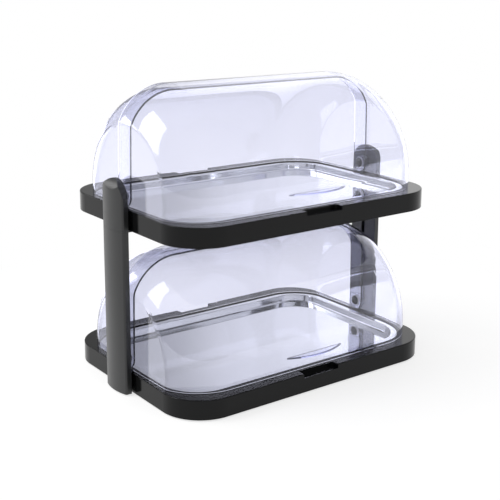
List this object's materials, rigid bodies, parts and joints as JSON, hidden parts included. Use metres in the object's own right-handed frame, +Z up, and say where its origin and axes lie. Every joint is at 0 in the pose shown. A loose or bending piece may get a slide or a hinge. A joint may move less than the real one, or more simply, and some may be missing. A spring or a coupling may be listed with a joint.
{
  "type": "refrigerated roll-top display",
  "caption": "Countertop roll-top food display: stacked trays over cold packs, each closed by nested clear covers that roll about end pivots held by slim end posts.",
  "frame": {"origin": "middle of the plan, on the standing surface", "axes": "+X along the long side to the right seen from the front, +Y to the back, +Z up"},
  "size_m": [0.473, 0.326, 0.42],
  "materials": {
    "base_plastic": "satin near-black moulded plastic",
    "post_plastic": "satin dark grey moulded plastic",
    "tray_steel": "bright polished",
    "clear_cover": "clear, polished, faint blue tint",
    "pack_plastic": "pale blue moulded bottle",
    "washer_plastic": "natural nylon",
    "screw_steel": "plated",
    "foot_rubber": "matt"
  },
  "bodies": {
    "frame": {"lower_base_pan": "base_plastic", "lower_display_tray": "tray_steel", "lower_left_cold_pack": "pack_plastic", "lower_right_cold_pack": "pack_plastic", "lower_left_pivot_pin": "post_plastic", "lower_right_pivot_pin": "post_plastic", "lower_spacer_washers": "washer_plastic", "lower_side_screws": "screw_steel", "upper_base_pan": "base_plastic", "upper_display_tray": "tray_steel", "upper_left_cold_pack": "pack_plastic", "upper_right_cold_pack": "pack_plastic", "upper_left_pivot_pin": "post_plastic", "upper_right_pivot_pin": "post_plastic", "upper_spacer_washers": "washer_plastic", "upper_side_screws": "screw_steel", "left_post_lower": "post_plastic", "left_post_upper": "post_plastic", "right_post_lower": "post_plastic", "right_post_upper": "post_plastic", "shelf_screws": "screw_steel", "rubber_feet": "foot_rubber"},
    "lower_front_cover": {"lower_front_cover": "clear_cover"},
    "lower_rear_cover": {"lower_rear_cover": "clear_cover"},
    "upper_front_cover": {"upper_front_cover": "clear_cover"},
    "upper_rear_cover": {"upper_rear_cover": "clear_cover"}
  },
  "joints": [
    {"name": "lower_front_cover_roll", "type": "hinge", "parent": "frame", "child": "lower_front_cover", "pos_m": [0, 0, 0.0435], "axis": [-1, 0, 0], "range_deg": [0, 90]},
    {"name": "lower_rear_cover_roll", "type": "hinge", "parent": "frame", "child": "lower_rear_cover", "pos_m": [0, 0, 0.0435], "axis": [1, 0, 0], "range_deg": [0, 90]},
    {"name": "upper_front_cover_roll", "type": "hinge", "parent": "frame", "child": "upper_front_cover", "pos_m": [0, 0, 0.2725], "axis": [-1, 0, 0], "range_deg": [0, 90]},
    {"name": "upper_rear_cover_roll", "type": "hinge", "parent": "frame", "child": "upper_rear_cover", "pos_m": [0, 0, 0.2725], "axis": [1, 0, 0], "range_deg": [0, 90]}
  ]
}
